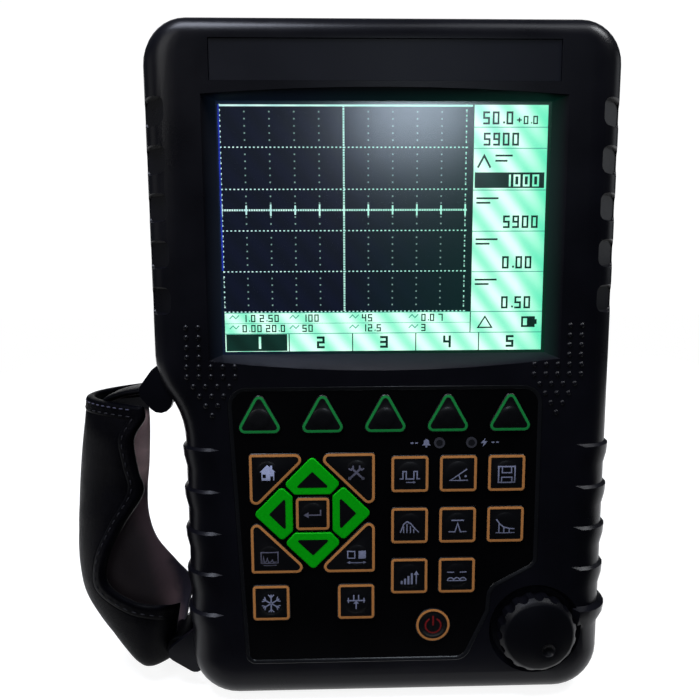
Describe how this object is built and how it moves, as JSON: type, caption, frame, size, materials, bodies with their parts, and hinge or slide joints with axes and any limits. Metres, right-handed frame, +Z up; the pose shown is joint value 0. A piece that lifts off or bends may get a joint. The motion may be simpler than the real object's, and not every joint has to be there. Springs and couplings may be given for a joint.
{
  "type": "hand-held ultrasonic flaw detector",
  "caption": "Upright flaw detector with a sunk display, a keypad of travelling keys, a setting knob, rear stand, top probe sockets and a cupped leather hand strap on the left.",
  "frame": {"origin": "middle of the flat bottom on which the housing stands", "axes": "+X to the right seen from the front, +Y from the front face to the back, +Z up"},
  "size_m": [0.2083, 0.064, 0.26],
  "materials": {
    "housing": "fine moulded texture, near-black blue-grey",
    "inlay": "smooth, unprinted",
    "seal": "matt black",
    "window": "clear, anti-glare",
    "display": "backlit panel in a metal frame",
    "frame_metal": "plain cast",
    "overlay": "printed sheet with a fine satin grain",
    "board": "solder-masked laminate",
    "contact": "sprung steel",
    "light": "smoked, unlit",
    "key": "dark, with a printed orange edge",
    "soft_key": "dark, with a printed green edge",
    "arrow_key": "bright green with a dark middle",
    "knob": "satin black",
    "steel": "plain",
    "can": "tinned",
    "part_plastic": "plain black",
    "cell_wrap": "plain sleeve, unprinted",
    "feet": "matt black",
    "socket": "nickel plated",
    "leather": "black grain leather, suede lined, stitched"
  },
  "bodies": {
    "housing": {"front_shell": "housing", "rear_shell": "housing", "shell_seal": "seal", "name_inlay": "inlay", "display_window": "window", "display_module": "display", "display_carrier": "frame_metal", "keypad_overlay": "overlay", "keypad_board": "board", "key_domes": "contact", "status_lights": "light", "encoder": "frame_metal", "main_board": "board", "pulser_module": "can", "buzzer": "part_plastic", "battery_pack": "cell_wrap", "battery_door": "housing", "door_screws": "steel", "case_screws": "steel", "rear_feet": "feet", "stand_brackets": "steel", "probe_sockets": "socket", "charge_jack": "part_plastic", "data_port": "socket", "upper_anchor": "housing", "lower_anchor": "housing", "hand_strap": "leather"},
    "knob_set": {"knob": "knob", "encoder_shaft": "steel"},
    "stand": {"stand": "housing"},
    "port_cover": {"port_cover": "feet"},
    "key_soft_1": {"key_soft_1": "soft_key"},
    "key_soft_2": {"key_soft_2": "soft_key"},
    "key_soft_3": {"key_soft_3": "soft_key"},
    "key_soft_4": {"key_soft_4": "soft_key"},
    "key_soft_5": {"key_soft_5": "soft_key"},
    "key_home": {"key_home": "key"},
    "key_tools": {"key_tools": "key"},
    "key_wave": {"key_wave": "key"},
    "key_split": {"key_split": "key"},
    "key_up": {"key_up": "arrow_key"},
    "key_down": {"key_down": "arrow_key"},
    "key_left": {"key_left": "arrow_key"},
    "key_right": {"key_right": "arrow_key"},
    "key_enter": {"key_enter": "key"},
    "key_freeze": {"key_freeze": "key"},
    "key_gate": {"key_gate": "key"},
    "key_delay": {"key_delay": "key"},
    "key_angle": {"key_angle": "key"},
    "key_save": {"key_save": "key"},
    "key_envelope": {"key_envelope": "key"},
    "key_peak": {"key_peak": "key"},
    "key_curve": {"key_curve": "key"},
    "key_gain": {"key_gain": "key"},
    "key_rectify": {"key_rectify": "key"},
    "key_power": {"key_power": "key"}
  },
  "joints": [
    {"name": "soft_1_press", "type": "slide", "parent": "housing", "child": "key_soft_1", "axis": [0, 1, 0], "range_m": [0, 0.0007], "stiffness_N_per_m": 1000},
    {"name": "soft_2_press", "type": "slide", "parent": "housing", "child": "key_soft_2", "axis": [0, 1, 0], "range_m": [0, 0.0007], "stiffness_N_per_m": 1000},
    {"name": "soft_3_press", "type": "slide", "parent": "housing", "child": "key_soft_3", "axis": [0, 1, 0], "range_m": [0, 0.0007], "stiffness_N_per_m": 1000},
    {"name": "soft_4_press", "type": "slide", "parent": "housing", "child": "key_soft_4", "axis": [0, 1, 0], "range_m": [0, 0.0007], "stiffness_N_per_m": 1000},
    {"name": "soft_5_press", "type": "slide", "parent": "housing", "child": "key_soft_5", "axis": [0, 1, 0], "range_m": [0, 0.0007], "stiffness_N_per_m": 1000},
    {"name": "home_press", "type": "slide", "parent": "housing", "child": "key_home", "axis": [0, 1, 0], "range_m": [0, 0.0007], "stiffness_N_per_m": 1000},
    {"name": "tools_press", "type": "slide", "parent": "housing", "child": "key_tools", "axis": [0, 1, 0], "range_m": [0, 0.0007], "stiffness_N_per_m": 1000},
    {"name": "wave_press", "type": "slide", "parent": "housing", "child": "key_wave", "axis": [0, 1, 0], "range_m": [0, 0.0007], "stiffness_N_per_m": 1000},
    {"name": "split_press", "type": "slide", "parent": "housing", "child": "key_split", "axis": [0, 1, 0], "range_m": [0, 0.0007], "stiffness_N_per_m": 1000},
    {"name": "up_press", "type": "slide", "parent": "housing", "child": "key_up", "axis": [0, 1, 0], "range_m": [0, 0.0007], "stiffness_N_per_m": 1000},
    {"name": "down_press", "type": "slide", "parent": "housing", "child": "key_down", "axis": [0, 1, 0], "range_m": [0, 0.0007], "stiffness_N_per_m": 1000},
    {"name": "left_press", "type": "slide", "parent": "housing", "child": "key_left", "axis": [0, 1, 0], "range_m": [0, 0.0007], "stiffness_N_per_m": 1000},
    {"name": "right_press", "type": "slide", "parent": "housing", "child": "key_right", "axis": [0, 1, 0], "range_m": [0, 0.0007], "stiffness_N_per_m": 1000},
    {"name": "enter_press", "type": "slide", "parent": "housing", "child": "key_enter", "axis": [0, 1, 0], "range_m": [0, 0.0007], "stiffness_N_per_m": 1000},
    {"name": "freeze_press", "type": "slide", "parent": "housing", "child": "key_freeze", "axis": [0, 1, 0], "range_m": [0, 0.0007], "stiffness_N_per_m": 1000},
    {"name": "gate_press", "type": "slide", "parent": "housing", "child": "key_gate", "axis": [0, 1, 0], "range_m": [0, 0.0007], "stiffness_N_per_m": 1000},
    {"name": "delay_press", "type": "slide", "parent": "housing", "child": "key_delay", "axis": [0, 1, 0], "range_m": [0, 0.0007], "stiffness_N_per_m": 1000},
    {"name": "angle_press", "type": "slide", "parent": "housing", "child": "key_angle", "axis": [0, 1, 0], "range_m": [0, 0.0007], "stiffness_N_per_m": 1000},
    {"name": "save_press", "type": "slide", "parent": "housing", "child": "key_save", "axis": [0, 1, 0], "range_m": [0, 0.0007], "stiffness_N_per_m": 1000},
    {"name": "envelope_press", "type": "slide", "parent": "housing", "child": "key_envelope", "axis": [0, 1, 0], "range_m": [0, 0.0007], "stiffness_N_per_m": 1000},
    {"name": "peak_press", "type": "slide", "parent": "housing", "child": "key_peak", "axis": [0, 1, 0], "range_m": [0, 0.0007], "stiffness_N_per_m": 1000},
    {"name": "curve_press", "type": "slide", "parent": "housing", "child": "key_curve", "axis": [0, 1, 0], "range_m": [0, 0.0007], "stiffness_N_per_m": 1000},
    {"name": "gain_press", "type": "slide", "parent": "housing", "child": "key_gain", "axis": [0, 1, 0], "range_m": [0, 0.0007], "stiffness_N_per_m": 1000},
    {"name": "rectify_press", "type": "slide", "parent": "housing", "child": "key_rectify", "axis": [0, 1, 0], "range_m": [0, 0.0007], "stiffness_N_per_m": 1000},
    {"name": "power_press", "type": "slide", "parent": "housing", "child": "key_power", "axis": [0, 1, 0], "range_m": [0, 0.0007], "stiffness_N_per_m": 1000},
    {"name": "knob_turn", "type": "hinge", "parent": "housing", "child": "knob_set", "pos_m": [0.057, -0.028, 0.0282], "axis": [0, -1, 0], "continuous": true},
    {"name": "stand_fold", "type": "hinge", "parent": "housing", "child": "stand", "pos_m": [0, 0.0247, 0.198], "axis": [1, 0, 0], "range_deg": [0, 60]},
    {"name": "port_cover_lift", "type": "hinge", "parent": "housing", "child": "port_cover", "pos_m": [0.027, 0.0216, 0.2522], "axis": [-1, 0, 0], "range_deg": [0, 100]}
  ]
}
